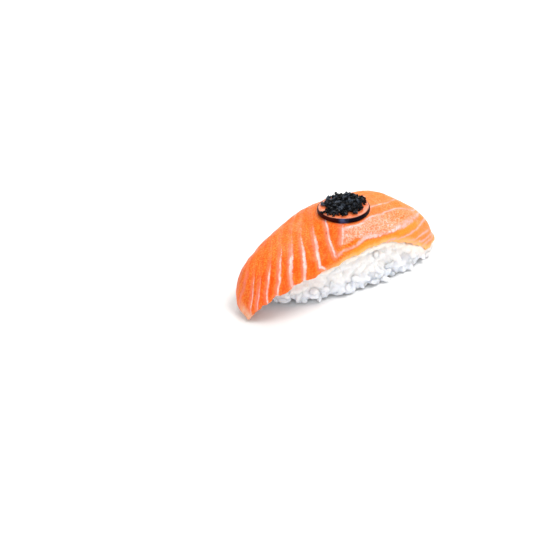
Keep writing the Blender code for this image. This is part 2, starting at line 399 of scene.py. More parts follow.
def fat_fields(along, across):
    """What the finish needs to draw the fat lines, per point.

    near and pink are distances from the closest line's core and from its pink margin, in their own
    half-widths; strength and blush say how strong they are there; number counts the lines and
    parts of a gap, run is how far along its line the closest place is; turned is 1 after the bend.
    """
    where = np.stack([along.ravel(), across.ravel()], -1)
    where = where + 0.28 * np.stack([wander(along, across, 3.0, s).ravel() for s in (2.3, 8.1)], -1)
    away, rows = [], []
    for index, (knots, bend, strong, width, blush, strong_on, width_on) in enumerate(FAT_LINES):
        curve = smooth_rail(knots, LINE_SAMPLES)
        at = np.linspace(0, len(knots) - 1, LINE_SAMPLES)
        gaps = where[:, None] - curve[None]
        square = (gaps ** 2).sum(-1)
        best = square.argmin(1)
        heading = np.gradient(curve, axis=0)[best]
        gap = np.take_along_axis(gaps, best[:, None, None].repeat(2, 2), 1)[:, 0]
        side = np.sign(heading[:, 0] * gap[:, 1] - heading[:, 1] * gap[:, 0])
        # distance to the curve itself, not to its nearest sample
        heading = heading / np.maximum(np.linalg.norm(heading, axis=1, keepdims=True), 1e-9)
        clear = np.abs(heading[:, 0] * gap[:, 1] - heading[:, 1] * gap[:, 0])
        clear = np.where(np.sqrt(square.min(1)) > 2.5, np.sqrt(square.min(1)), clear)
        after = step(at[best], bend - 0.15, bend + 0.15)
        low = curve[best, 1]
        fade = np.where(low > 0, 0.22 + 0.54 * step(low, 9, 15), 0.22 + 0.78 * step(low, 0.8, -6.8))
        if index == CREASE:
            fade = np.where(low > 0, 0.30, 0.3 + 0.7 * step(low, 0, -4))
            strong_on, width_on = (np.interp(curve[best, 0], *(np.array(CREASE_RUN).T[[0, k]])) for k in (1, 2))
        elif index > LAST_LONG:
            fade = 0.12 + 0.88 * step(curve[best, 0], 17, 10) + (low > 6) * 0.3
        run = np.concatenate([[0], np.cumsum(np.linalg.norm(np.diff(curve, axis=0), axis=1))])[best]
        wide = width * (0.50 + 0.50 * step(low, 0, -9)) * (1 - after) + width_on * after
        rows.append((clear, side, strong * fade * (1 - after) + strong_on * after, wide,
                     blush * fade * (1 - after) + 0.5 * strong_on * after, run, after))
        away.append(clear)
    away = np.array(away)
    order = np.arange(len(away))
    pick = away.argmin(0)
    at_point = np.arange(away.shape[1])
    clear, side, strong, wide, blush, run, after = (
        np.array([row[k] for row in rows])[pick, at_point] for k in range(7))
    before = away[np.maximum(pick - 1, 0), at_point] + 99 * (pick == 0)
    beyond = away[np.minimum(pick + 1, len(away) - 1), at_point] + 99 * (pick == len(away) - 1)
    other = np.minimum(before, beyond)
    number = pick + np.where(beyond < before, 1, -1) * clear / np.maximum(clear + other, 1e-6)
    pinks = np.array([np.abs(row[0] * row[1] + PINK_OFFSET * (1 - row[6])) / (0.75 + 0.25 * row[6])
                      for row in rows])
    fields = dict(near=clear / wide, strength=strong, pink=pinks.min(0), blush=blush,
                  number=number, run=run, turned=after, clear=clear, gap=clear + other)
    return {name: values.reshape(along.shape) for name, values in fields.items()}


def slice_relief(along, across, f):
    """Height in mm that the outer face stands proud of the smooth drape."""
    inner = 1 - f["turned"]
    low = step(across, 0.0, -7.0)
    bulge = 0.17 * (1 - np.exp(-(f["clear"] / 0.9) ** 2)) * inner * (0.25 + 0.75 * low)
    side_line = (np.abs(f["number"] - CREASE) < 0.5) * f["turned"] * step(along, 40, 46) * step(along, 80, 68)
    ridge = 0.30 * np.exp(-(f["clear"] / 0.7) ** 2) * side_line
    hollow = (-0.25 * step(f["number"], CREASE + 0.05, CREASE + 0.5) * f["turned"] * step(along, 38, 46)
              * step(along, 90, 76))
    slow = 0.5 * wander(along, across, 11, 9.9) + 0.16 * wander(along, across, 3.2, 4.4)
    aside = np.hypot(along - 51.5, across + 3.4)
    return (bulge + ridge + hollow + slow * step(aside, 7, 13) - 0.12) * step(along, 0, 7)


def salmon_finish(settings):
    made = Finish("salmon_flesh", Subsurface_Weight=0.18, Subsurface_Scale=0.0008,
                  Subsurface_Radius=(1.0, 0.28, 0.08), IOR=1.38, Specular_IOR_Level=0.16, Coat_Roughness=0.16)
    near, strength, white_fat_and_glint, pink, blush = (made.read(n) for n in ("near", "strength", "white_fat_and_glint", "pink", "blush"))
    number, run, turned, along = (made.read(n) for n in ("number", "run", "turned", "along"))
    band, grainy, rim, tip, low = (made.read(n) for n in ("band", "grainy", "rim", "tip", "low"))
    cloud = made.grain(160, 3.0)
    fine = made.grain(2900, 2.0, rough=0.6)
    fleck, blotch, painted_glints = made.grain(2000, 2.0, rough=0.6), made.grain(620, 2.0), made.grain(1300, 2.0)
    teeth = made.grain(950, 2.0)
    thread = made.node("ShaderNodeTexNoise", {}, {"Scale": 1.0, "Detail": 1.0, "Vector": made.node(
        "ShaderNodeCombineXYZ", {}, (number * 26.0, run * 0.55, turned * 5.0))})
    fibres = made.node("ShaderNodeCombineXYZ", {}, (number * 1.7, run * 0.08, turned * 5.0))
    streak = made.node("ShaderNodeTexNoise", {}, {"Vector": fibres, "Scale": 2.0, "Detail": 3.0})
    rough_near = near + (teeth - 0.5) * 1.8 + (fleck - 0.5) * 1.8
    core = (rough_near * rough_near * -1.0).math("EXPONENT") * strength
    margin = (pink * pink * -1.0).math("EXPONENT") * blush * (0.55 + 0.9 * (blotch - 0.25))
    turn = made.node("ShaderNodeMapRange", {}, (along + 22 * (cloud - 0.5), 22.0, 92.0, 0.0, 1.0))
    # the low left end is partly the flesh's own redder tone and partly painted shade on the left flank
    flesh = made.mix((*settings.left_flesh_and_shade, 1), (*settings.right_flesh, 1), turn)
    flesh = made.mix(flesh, (*settings.deep_flesh, 1), low * 0.8)
    flesh = made.mix(flesh, (*settings.band_flesh, 1), band * 0.8)
    flesh = made.mix(flesh, colour(1.0, 0.21, 0.016), streak.between(0.42, 0.66) * 0.55)
    flesh = made.mix(flesh, colour(1.0, 0.19, 0.018), made.read("high") * 0.4)
    flesh = made.mix(flesh, colour(1.0, 0.24, 0.030), blotch.between(0.45, 0.70) * 0.35)
    # lighter orange flecks: partly fine grain of the flesh, partly painted sparkle of its moist surface
    flesh = made.mix(flesh, colour(1.0, 0.35, 0.045), fleck.between(0.49, 0.62) * (1.0 - low * 0.4) * 0.50)
    flesh = made.mix(flesh, colour(0.95, 0.08, 0.001), fleck.between(0.50, 0.38) * (1.0 - band * 0.7) * 0.42)
    flesh = made.mix(flesh, colour(1.0, 0.27, 0.13), grainy * 0.75)
    pale = made.mix((*settings.pale_flesh, 1), colour(0.97, 0.50, 0.27), made.node(
        "ShaderNodeMapRange", {}, (along, 50.0, 82.0, 0.0, 1.0)))
    # pale flecks: partly the grainy flesh's own pale grain, partly painted sparkle highlights
    flesh = made.mix(flesh, pale, fleck.between(0.45, 0.55) * grainy * 0.90)
    # painted highlight: near-white glints sprinkled over the grainy flesh
    flesh = made.mix(flesh, (*settings.fat, 1), painted_glints.between(0.60, 0.68) * grainy * 0.9)
    flesh = made.mix(flesh, (*settings.blush, 1), margin * 0.8)
    flesh = made.mix(flesh, (*settings.rim_flesh, 1), rim * (0.80 + 0.5 * (teeth - 0.5)))
    # fat lines turn white for white fat, and after the bend also for painted glints
    fat = made.mix((*settings.pink_fat, 1), (*settings.fat, 1), white_fat_and_glint * thread.between(0.30, 0.62, 0.25, 1.0))
    flesh = made.mix(flesh, fat, core.between(0.06, 0.66))
    flesh = made.mix(flesh, colour(0.86, 0.52, 0.36), tip * (0.75 + 1.2 * (blotch - 0.5)))
    flesh = made.mix(flesh, colour(0.16, 0.035, 0.006), made.read("speck") * 0.8)
    pits = made.grain(900, 2.0)
    bump = made.bump(pits, 0.00030, 0.35)
    bump = made.bump(fine + fleck * 0.7, 0.00030, 0.30 + 0.60 * grainy, bump)
    made.set(Base_Color=flesh, Roughness=fine.between(0.3, 0.7, 0.32, 0.52), Normal=bump,
             Coat_Weight=0.02 + 0.30 * grainy + 0.30 * core + 0.14 * fleck.between(0.56, 0.66))
    return made.material


def make_slice(settings):
    count_u, count_v = settings.rows, settings.columns
    face = drape(count_u, count_v)
    along, across = unrolled(face)
    f = fat_fields(along, across)
    normal = face_normals(face)
    v = np.linspace(-1, 1, count_v)[None] * np.ones((count_u, 1))
    edge = step(np.abs(v), 0.80, 1.0)
    wave = (0.9 * wander(along, 0 * across, 3.4, 2.2) + 0.35 * wander(along, 0 * across, 1.2, 6.2)) * edge
    wave *= step(along, 2, 9)
    down = np.gradient(face, axis=1) * np.sign(v)[..., None]
    down /= np.maximum(np.linalg.norm(down, axis=-1, keepdims=True), 1e-9)
    # the slice swells up to the fruit slice that was pressed onto it
    aside = np.hypot(face[..., 0] - FRUIT_CENTRE.x, face[..., 1] - FRUIT_CENTRE.y)
    under = fruit_height(face[..., 0], face[..., 1]) - FRUIT_THICKNESS
    swell = 0.95 * step(aside, FRUIT_RADIUS + 5.0, FRUIT_RADIUS * 0.97) * np.maximum(under - face[..., 2], 0)
    face = face + swell[..., None] * np.array([0, 0, 1])
    points = face + normal * slice_relief(along, across, f)[..., None] + down * (wave - 0.15 * edge)[..., None]
    piece, iu, iv = new_grid("salmon_slice", points + np.array(SHIFT))
    front = across - across[:, [0]]
    crease_line = np.array(FAT_LINES[CREASE][0][9:])
    below = np.interp(along, *crease_line.T) - across
    f["band"] = step(below, 0.4, 1.3) * step(along, 40, 47) * step(along, 88, 74)
    top, foot, thin = (np.interp(along, *np.array(edge).T) for edge in (GRAINY_TOP, GRAINY_FOOT, GRAINY_THIN))
    lean = 43.4 + (across + 14.3) * 0.62
    f["grainy"] = (step(across, top + 0.4, top - 0.3) * step(across, foot - 0.1, foot + 0.5)
                   * step(along, lean + 0.3, lean + 0.9) * (0.40 + 0.60 * step(along, 88, 68))
                   * (0.48 + 0.52 * step(across, thin + 0.6, thin - 0.8)))
    f["grainy"] = np.maximum(f["grainy"], 0.10 * step(across, foot - 1, foot + 1.5) * step(along, 40, 50)
                             * step(across, 4, -2))
    patchy = wander(along, across, 4.5, 1.7) + 0.6 * wander(along, across, 1.8, 5.3)
    # painted highlight: the glint noise paints white glints into the whiteness and strength of the lines after their
    # bend
    glint = wander(along, across, 0.9, 4.9)
    crease = np.abs(f["number"] - CREASE) < 0.5
    glint_level = np.where(crease, np.interp(along, *(np.array(CREASE_RUN).T[[0, 3]])),
                      0.6 * (np.abs(f["number"] - CREASE + 2) < 0.5) * step(along, 66, 54))
    f["white_fat_and_glint"] = np.clip((1 - f["turned"]) * (0.75 + 1.2 * patchy)
                         + f["turned"] * (0.06 + 0.3 * patchy + glint_level * (0.75 + 1.6 * glint)), 0, 1)
    f["strength"] = f["strength"] * np.clip(0.95 + 0.8 * wander(along, across, 5.5, 6.6)
                                            + f["turned"] * 0.9 * glint, 0.3, 1.1)
    f["rim"] = step(front, 2.0 + 0.8 * step(along, 56, 66), 0.1) * (0.12 + 0.88 * step(along, 30, 42))
    f["tip"] = step(along, 4.6, 1.2) * step(across, 3, -2)
    f["speck"] = np.exp(-((along - 41.3) ** 2 + (across + 7.6) ** 2) / 0.32 ** 2)
    bend = np.exp(-((along - 39.7) ** 2 / 1.0 + (across + 15.6) ** 2 / 1.6))
    f["blush"] = np.maximum(f["blush"], bend)
    f["pink"] = f["pink"] * (1 - bend)
    lump = np.exp(-((along - 64.8) ** 2 + (across - 2.0) ** 2) / 0.55 ** 2)
    f["strength"], f["near"] = np.maximum(f["strength"], lump), f["near"] * (1 - lump)
    f["white_fat_and_glint"] = np.maximum(f["white_fat_and_glint"], lump)
    f["low"] = (1 - f["turned"]) * step(across, -3, -10) * step(along, 2, 12)
    f["high"] = step(across, -9, 0) * step(along, 50, 36)
    f["along"] = along
    for name in ("near", "strength", "white_fat_and_glint", "pink", "blush", "number", "run", "turned", "along", "band",
                 "grainy", "rim", "tip", "high", "low", "speck"):
        point_values(piece, name, f[name][iu, iv])
    thick = TIP_THICKNESS + (1 - TIP_THICKNESS) * tip_taper(count_u)
    group = piece.vertex_groups.new(name="thickness")
    for row in range(count_u):
        group.add(np.nonzero(iu == row)[0].tolist(), float(thick[row]), "REPLACE")
    solid = piece.modifiers.new("thickness", "SOLIDIFY")
    solid.thickness, solid.offset, solid.vertex_group = (SLICE_THICKNESS - 0.5) * MM, -1, "thickness"
    round_off = piece.modifiers.new("edge", "BEVEL")
    round_off.width, round_off.segments, round_off.limit_method = 0.35 * MM, 3, "ANGLE"
    round_off.angle_limit = math.radians(55)
    bpy.context.view_layer.objects.active = piece
    for modifier in list(piece.modifiers):
        bpy.ops.object.modifier_apply(modifier=modifier.name)
    bpy.ops.object.shade_smooth()
    return settle(piece, "salmon_flesh", salmon_finish(settings), "salmon")


# ---------------------------------------------------------------- rice

GRAIN_SHAPES = 6
# Front foot of the rice, where a few grains stick out over the floor, mm in the frame.
FOOT = Vector((-21.5, -13.6, 1.8))


def grain_shape(number, around, rows, settings):
    """One cooked grain along X: plump, slightly bent, with shallow dents."""
    deselect()
    bpy.ops.mesh.primitive_uv_sphere_add(segments=around, ring_count=rows, radius=1, rotation=(0, math.pi / 2, 0))
    bpy.ops.object.transform_apply(rotation=True)
    piece = bpy.context.active_object
    bend = 0.08 + 0.12 * (number % 3)
    for vertex in piece.data.vertices:
        x, y, z = vertex.co
        plump = 1 - 0.14 * x * (1 if number % 2 else -1)
        dent = 1 + 0.22 * noise.noise(Vector((x * 1.7, y * 1.4, z * 1.4 + 9 * number)))
        blunt = math.copysign(abs(x) ** 0.9, x)
        vertex.co = Vector((blunt * settings.grain_length / 2,
                            (y * plump * dent + bend * (x * x - 0.4)) * settings.grain_width / 2,
                            z * plump * dent * settings.grain_width * 0.42))
    return piece


def bare_rice():
    """Triangles of the rice that the slice leaves bare: corner points, outward directions, areas."""
    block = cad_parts["rice"].data
    block.calc_loop_triangles()
    corners = np.array([[block.vertices[i].co[:] for i in t.vertices] for t in block.loop_triangles])
    cross = np.cross(corners[:, 1] - corners[:, 0], corners[:, 2] - corners[:, 0])
    area = np.linalg.norm(cross, axis=1)
    outward = cross / np.maximum(area, 1e-12)[:, None]
    middle = corners.mean(1)
    face = drape(120, 3) * MM + np.array(SHIFT) * MM
    rim = np.concatenate([face[:, 0], face[:, -1], face[[0, -1], 1]])
    to_rim = np.linalg.norm(middle[:, None] - rim[None], axis=-1).min(1)
    inside = (outward[:, 2] > 0.3) & (to_rim > 0.0055) & (middle[:, 2] > 0.006)
    under = (outward[:, 2] < -0.8) & (middle[:, 2] < 0.001)
    area[inside] = 0
    area[under] *= 0.25
    return corners, outward, area


def place_grains(settings, chance, tries, spacing, sink, rise_above=None):
    """Placings of grains on the bare rice; sink is how deep their middles lie, in grain widths."""
    corners, outwards, area = bare_rice()
    if rise_above is not None:
        area = area * rise_above(corners.mean(1))
    picks = chance.choices(range(len(area)), weights=area.tolist(), k=tries)
    placings, held = [], np.zeros((0, 3))
    half = settings.grain_length / 2 * MM * 0.60
    for pick in picks:
        r1, r2 = math.sqrt(chance.random()), chance.random()
        a, b, c = corners[pick]
        spot = Vector(a * (1 - r1) + b * r1 * (1 - r2) + c * r1 * r2)
        outward = Vector(outwards[pick])
        size, spin, tilt = chance.uniform(0.85, 1.08), chance.uniform(0, math.pi), chance.gauss(0, 0.5)
        depth = chance.uniform(*sink) * settings.grain_width * MM
        number = chance.randrange(GRAIN_SHAPES)
        along = Matrix.Rotation(spin, 3, outward) @ outward.orthogonal().normalized()
        along = (along + outward * math.tan(tilt)).normalized()
        across = outward.cross(along).normalized()
        across = (Matrix.Rotation(chance.uniform(-0.6, 0.6), 3, along) @ across).normalized()
        centre = spot - outward * depth
        beads = np.array([centre + along * half * k for k in (-1, -0.5, 0, 0.5, 1)])
        lift = max(0.0, settings.grain_width * 0.44 * MM - beads[:, 2].min())
        centre.z += lift
        beads[:, 2] += lift
        if len(held) and np.linalg.norm(held[:, None] - beads[None], axis=-1).min() < (
                spacing * settings.grain_width * MM):
            continue
        held = np.concatenate([held, beads])
        basis = Matrix((along, across, along.cross(across))).transposed() * size * MM
        placings.append((number, Matrix.Translation(centre) @ basis.to_4x4()))
    return placings


def rim_grains(settings, chance):
    """Placings of grains pressed up against the lower edge of the slice, where the rice swells out to it."""
    face = drape(160, 61)
    normal = face_normals(face)
    placings = []
    for row in (0, -1):
        edge, inner = face[:, row], face[:, 1 if row == 0 else -2]
        down = edge - inner
        down /= np.maximum(np.linalg.norm(down, axis=1, keepdims=True), 1e-9)
        for i in range(62, 158):
            for layer in range(2):
                centre = (Vector(edge[i]) + Vector(down[i]) * chance.uniform(0.3, 1.3)
                          - Vector(normal[i, row]) * (chance.uniform(1.0, 1.6) - 0.5 * (i > 125) + 1.3 * layer)
                          + SHIFT)
                ahead = Vector(edge[min(i + 1, 159)] - edge[i - 1]).normalized()
                aside = (Vector(down[i]) + 0.5 * Vector(normal[i, row])).normalized()
                along = (ahead + aside * chance.uniform(-0.5, 0.9)).normalized()
                across = Vector(normal[i, row]).cross(along).normalized()
                size = chance.uniform(0.75, 0.95)
                centre.z = max(centre.z, settings.grain_width * 0.45)
                basis = Matrix((along, across, along.cross(across))).transposed() * size * MM
                if chance.random() < (0.45 if i < 118 else 0.75):
                    placings.append((chance.randrange(GRAIN_SHAPES), Matrix.Translation(centre * MM) @ basis.to_4x4()))
    return placings


def rice_finish(settings, name):
    made = Finish(name, Subsurface_Weight=0.90, Subsurface_Scale=0.0040,
                  Subsurface_Radius=(1.0, 0.90, 0.80), IOR=1.36, Specular_IOR_Level=0.35, Coat_Roughness=0.16)
    cloud, speck, fine = made.grain(330, 2.0), made.grain(1100, 2.0), made.grain(3200, 2.0)
    tone = made.mix((*settings.rice_colour, 1), (*settings.rice_shade, 1), cloud.between(0.35, 0.72) * 0.7)
    tone = made.mix(tone, colour(0.97, 0.96, 0.95), speck.between(0.52, 0.75) * 0.5)
    # painted shade: rice near the floor turns bluish grey for the cool shade there
    tone = made.mix(tone, (*settings.shaded_low_rice, 1), made.read("foot") * 0.55)
    # painted reflection: warm light bounced from the salmon, painted onto the rice beside the slice
    tone = made.mix(tone, (*settings.bounce_lit_rice, 1), made.read("salmon_bounce_light") * 0.7)
    made.set(Base_Color=tone, Roughness=speck.between(0.3, 0.7, 0.24, 0.42),
             Normal=made.bump(speck * 1.3 + fine * 0.5, 0.00030, 0.55), Coat_Weight=cloud.between(0.4, 0.7, 0.05, 0.3))
    return made.material


def salmon_bounce_light(piece):
    """How close each point is to the slice, for the painted warm light bounced from the salmon onto the rice, and how
    low it lies, for the painted cool shade near the floor.
    """
    cover = BVHTree.FromPolygons([v.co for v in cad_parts["salmon"].data.vertices],
                                 [p.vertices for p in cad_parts["salmon"].data.polygons])
    away = np.array([(cover.find_nearest(v.co, 0.004)[3] or 0.004) for v in piece.data.vertices])
    point_values(piece, "salmon_bounce_light", step(away / MM, 3.9, 0.4))
    # painted shade: how low each point lies, for the bluish shade near the floor
    point_values(piece, "foot", [step(v.co.z / MM, 7.5, 2.0) for v in piece.data.vertices])


def make_pressed_rice(settings):
    """The pressed block: grains that have fused with each other and with the inside."""
    chance = random.Random(settings.seed)
    shapes = [grain_shape(number, 14, 9, settings) for number in range(GRAIN_SHAPES)]
    placings = place_grains(settings, chance, settings.tries, settings.spacing, (0.38, 0.58))
    piece = join_copies("rice_core", shapes, placings + rim_grains(settings, chance))
    body = bmesh.new()
    body.from_mesh(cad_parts["rice"].data)
    bmesh.ops.remove_doubles(body, verts=body.verts, dist=1e-6)
    body.normal_update()
    for vertex in body.verts:
        inset = settings.grain_width * (0.34 + 0.26 * step(vertex.co.z / MM, 7, 2)) * MM
        vertex.co -= vertex.normal * inset * (0.3 if vertex.normal.z > 0.7 else 1)
        vertex.co.z = max(vertex.co.z, 0.0005)
    body.from_mesh(piece.data)
    body.to_mesh(piece.data)
    body.free()
    fuse = piece.modifiers.new("fuse", "REMESH")
    fuse.mode, fuse.voxel_size = "VOXEL", settings.fuse_size * MM
    soften = piece.modifiers.new("soften", "SMOOTH")
    soften.factor, soften.iterations = 0.5, settings.soften
    bpy.context.view_layer.objects.active = piece
    for modifier in list(piece.modifiers):
        bpy.ops.object.modifier_apply(modifier=modifier.name)
    for vertex in piece.data.vertices:
        vertex.co.z = max(vertex.co.z, 0.0)
    smooth(piece)
    salmon_bounce_light(piece)
    return settle(piece, "cooked_rice", rice_finish(settings, "pressed_rice"), "rice")


def make_loose_grains(settings):
    """Grains that stand out along the foot, at the ends and here and there on the sides."""
    chance = random.Random(settings.seed + 1)
    shapes = [grain_shape(number, 8, 7, settings) for number in range(GRAIN_SHAPES)]

    def wanted(middle):
        low = step(middle[:, 2] / MM, 7.0, 1.5)
        ends = step(np.abs(middle[:, 0] / MM), 24, 33)
        near_foot = np.exp(-(np.linalg.norm(middle / MM - np.array(FOOT), axis=1) / 4.0) ** 2)
        return 0.04 + 0.9 * low + 0.4 * ends + 1.5 * near_foot

    placings = place_grains(settings, chance, settings.loose_tries, 0.85, (0.20, 0.42), wanted)
    piece = join_copies("rice_grains", shapes, placings)
    for vertex in piece.data.vertices:
        vertex.co.z = max(vertex.co.z, 0.0)
    smooth(piece)
    salmon_bounce_light(piece)
    return settle(piece, "cooked_rice", rice_finish(settings, "rice_grain"))


# ---------------------------------------------------------------- fruit slice and crumbs

def profile(share, foot, side):
    """Split share into a flat foot, a wall and a cap; returns (spread, wall, cap), each 0 to 1."""
    if share <= foot:
        return share / foot, 0.0, 0.0
    if share <= side:
        return 1.0, (share - foot) / (side - foot), 0.0
    cap = (share - side) / (1 - side)
    return 1 - cap, 1.0, cap


def fruit_height(x, y):
    """Height of the top of the fruit slice, mm: climbs to the right, droops down the flank."""
    return FRUIT_CENTRE.z + FRUIT_RISE * (x - FRUIT_CENTRE.x) - FRUIT_SAG * (y / 12) ** 2


def fruit_point(angle, share):
    spread, wall, cap = profile(share, 0.3, 0.5)
    wobble = 1 + 0.012 * noise.noise(Vector((math.cos(angle), math.sin(angle), 0.5)) * 2.2)
    bow = 0.35 * (1 - math.sin(wall * math.pi) ** 0.6)
    radius = (FRUIT_RADIUS * spread - bow * spread) * wobble
    x = FRUIT_CENTRE.x + radius * math.cos(angle)
    y = FRUIT_CENTRE.y + radius * math.sin(angle)
    dish = -0.16 * step(spread, 0.99, 0.90) if cap > 0 else 0.0
    dent = 0.12 * noise.noise(Vector((x, y, 0)) / 2.2) if 0.05 < cap else 0.0
    return Vector((x, y, fruit_height(x, y) - FRUIT_THICKNESS * (1 - wall) + dish + dent))


def fruit_finish(settings):
    made = Finish("fruit_flesh", Specular_IOR_Level=0.05, Subsurface_Weight=0.25, Subsurface_Scale=0.0015,
                  Subsurface_Radius=(1.0, 0.35, 0.2), IOR=1.42, Coat_Roughness=0.10)
    skin, reach = made.read("skin"), made.read("reach")
    cloud, fibre = made.grain(420, 3.0), made.grain(1600, 2.0)
    flesh = made.mix((*settings.flesh, 1), colour(0.66, 0.12, 0.022), cloud.between(0.35, 0.7) * 0.7)
    flesh = made.mix(flesh, (*settings.pale_flesh, 1), reach.between(0.80, 0.97) * 0.8)
    peel = made.mix((*settings.skin, 1), colour(0.045, 0.003, 0.001), made.read("brown") * 0.8)
    # painted highlight: a bluish reflection painted onto the front of the skin
    peel = made.mix(peel, colour(0.055, 0.065, 0.15), made.read("painted_skin_highlight") * cloud.between(0.35, 0.6))
    made.set(Base_Color=made.mix(flesh, peel, skin), Roughness=0.36 + fibre * 0.1 - 0.10 * skin,
             Coat_Weight=0.20 - 0.20 * skin, Normal=made.bump(fibre + cloud, 0.00015, 0.3))
    return made.material


def make_fruit(settings):
    piece = reshaped_sphere("fruit_disc", 96, 60, fruit_point)
    at = np.array([v.co[:] for v in piece.data.vertices]) / MM - np.array(SHIFT)
    reach = np.hypot(at[:, 0] - FRUIT_CENTRE.x, at[:, 1] - FRUIT_CENTRE.y) / FRUIT_RADIUS
    top = np.array([fruit_height(x, y) for x, y in at[:, :2]])
    point_values(piece, "reach", reach)
    turn = np.arctan2(at[:, 1] - FRUIT_CENTRE.y, at[:, 0] - FRUIT_CENTRE.x)
    point_values(piece, "brown", step(np.cos(turn - math.radians(175)), 0.55, 0.95)
                 + 0.7 * step(np.cos(turn - math.radians(-30)), 0.96, 1.0))
    # painted highlight: where the bluish reflection is painted on the skin's front
    point_values(piece, "painted_skin_highlight", step(np.cos(turn - math.radians(-128)), 0.975, 0.995))
    point_values(piece, "skin", np.maximum(step(reach, 0.945, 0.965), step(top - at[:, 2], 0.30, 0.40)))
    return settle(piece, "fruit_flesh", fruit_finish(settings), "fruit_slice")


def heap_spread(x, y):
    """How far out in the heap a place is: 0 in the middle, 1 at its ragged edge."""
    dx, dy = x - FRUIT_CENTRE.x, y - FRUIT_CENTRE.y
    reach = float(np.interp(math.degrees(math.atan2(dy, dx)), *np.array(CRUMB_REACH).T))
    return math.hypot(dx, dy) / reach


def heap_height(x, y):
    """Height of the crumb heap above the fruit slice, mm: a ragged low heap with one peak to the right."""
    dx, dy, spread = x - FRUIT_CENTRE.x, y - FRUIT_CENTRE.y, heap_spread(x, y)
    if spread > 1:
        return 0.0
    peak = math.exp(-((dx - CRUMB_PEAK.x) ** 2 + (dy - CRUMB_PEAK.y) ** 2) / 1.7 ** 2)
    lump = 1.0 * noise.noise(Vector((dx, dy, 2.0)) / 1.8)
    return max(0.3, 1.25 * (1 - spread ** 3) ** 0.8 + (1.75 * peak + lump) * (1 - spread ** 4))


def heap_core_point(angle, share):
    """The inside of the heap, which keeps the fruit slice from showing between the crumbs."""
    spread, wall, cap = profile(share, 0.3, 0.4)
    reach = 0.86 * float(np.interp(math.degrees(math.atan2(math.sin(angle), math.cos(angle))),
                                   *np.array(CRUMB_REACH).T)) * spread
    x, y = FRUIT_CENTRE.x + reach * math.cos(angle), FRUIT_CENTRE.y + reach * math.sin(angle)
    rough = 0.25 * noise.noise(Vector((x, y, 7.0)) / 0.6)
    rise = 0.03 if cap == 0 and wall == 0 else 0.15 + (0.60 * heap_height(x, y) + rough) * cap ** 0.3
    return Vector((x, y, fruit_height(x, y) + max(rise, 0.03)))


def crumb_shape(number, settings, chance):
    """One crumb: two or three angular lumps stuck together."""
    lumps = []
    for lump in range(2 + number % 2):
        deselect()
        size = settings.crumb_size / 2 * chance.uniform(0.55, 0.95)
        spot = Vector([chance.uniform(-1, 1) for _ in range(3)]) * settings.crumb_size * 0.36 * min(lump, 1)
        bpy.ops.mesh.primitive_ico_sphere_add(subdivisions=1, radius=1)
        lumps.append(bpy.context.active_object)
        for vertex in lumps[-1].data.vertices:
            vertex.co = vertex.co * chance.uniform(0.50, 1.30) * size + spot
    for lump in lumps:
        lump.select_set(True)
    bpy.ops.object.join()
    return bpy.context.active_object


def crumb_places(settings, chance):
    placings, held = [], np.zeros((0, 3))
    for attempt in range(settings.crumb_tries):
        reach = FRUIT_RADIUS * math.sqrt(chance.random())
        turn = chance.uniform(0, 2 * math.pi)
        x = FRUIT_CENTRE.x + reach * math.cos(turn)
        y = FRUIT_CENTRE.y + reach * math.sin(turn)
        top = heap_height(x, y)
        number, size = chance.randrange(CRUMB_SHAPES), chance.uniform(0.7, 1.25)
        euler = [chance.uniform(0, 2 * math.pi) for _ in range(3)]
        share = chance.random() ** 0.5
        if top <= 0:
            continue
        rise = 0.35 + max(0.0, top - 0.45) * share
        spot = Vector((x, y, fruit_height(x, y) + rise))
        if len(held) and np.linalg.norm(held - np.array(spot), axis=1).min() < 0.58 * settings.crumb_size:
            continue
        held = np.concatenate([held, [spot[:]]])
        turned = (Matrix.Rotation(euler[0], 4, "X") @ Matrix.Rotation(euler[1], 4, "Y")
                  @ Matrix.Rotation(euler[2], 4, "Z"))
        placings.append((number, Matrix.Translation((spot + SHIFT) * MM) @ turned @ Matrix.Scale(size * MM, 4)))
    return placings


def crumb_finish(settings):
    made = Finish("black_crumb", IOR=1.42, Specular_IOR_Level=0.16, Coat_Roughness=0.35)
    speck, gloss_and_sheen_patch = made.grain(2600, 3.0), made.grain(560, 2.0)
    # bluish patches: glossy spots whose blue-grey tone is partly painted highlight
    tone = made.mix((*settings.crumb_colour, 1), colour(0.030, 0.043, 0.066), gloss_and_sheen_patch.between(0.50, 0.64))
    made.set(Base_Color=tone, Roughness=gloss_and_sheen_patch.between(0.35, 0.65, 0.30, 0.60),
             Coat_Weight=gloss_and_sheen_patch.between(0.50, 0.64) * 0.6, Normal=made.bump(speck, 0.0003, 0.6))
    return made.material


def make_crumbs(settings):
    chance = random.Random(settings.seed)
    shapes = [crumb_shape(number, settings, chance) for number in range(CRUMB_SHAPES)]
    piece = join_copies("crumb_heap", shapes, crumb_places(settings, chance))
    core = reshaped_sphere("crumb_core", 72, 40, heap_core_point)
    for part in (piece, core):
        settle(part, "black_crumb", crumb_finish(settings), "crumbs")


# ---------------------------------------------------------------- stage

def make_floor(settings):
    deselect()
    bpy.ops.mesh.primitive_plane_add(size=3, location=(0, 0, -0.0002))
    floor = bpy.context.active_object
    bpy.ops.object.transform_apply(location=True)
    floor.name = floor.data.name = "floor"
    made = Finish("pale_floor", Roughness=0.7, Base_Color=(*settings.floor_colour, 1))
    floor.data.materials.append(made.material)


def make_light(name, place, aim, size, power, tint=(1, 1, 1)):
    data = bpy.data.lights.new(name, "AREA")
    data.shape, data.size, data.energy, data.color = "DISK", size, power, tint
    light = bpy.data.objects.new(name, data)
    light.location = place
    light.rotation_euler = (aim - Vector(place)).to_track_quat("-Z", "Y").to_euler()
    bpy.context.scene.collection.objects.link(light)


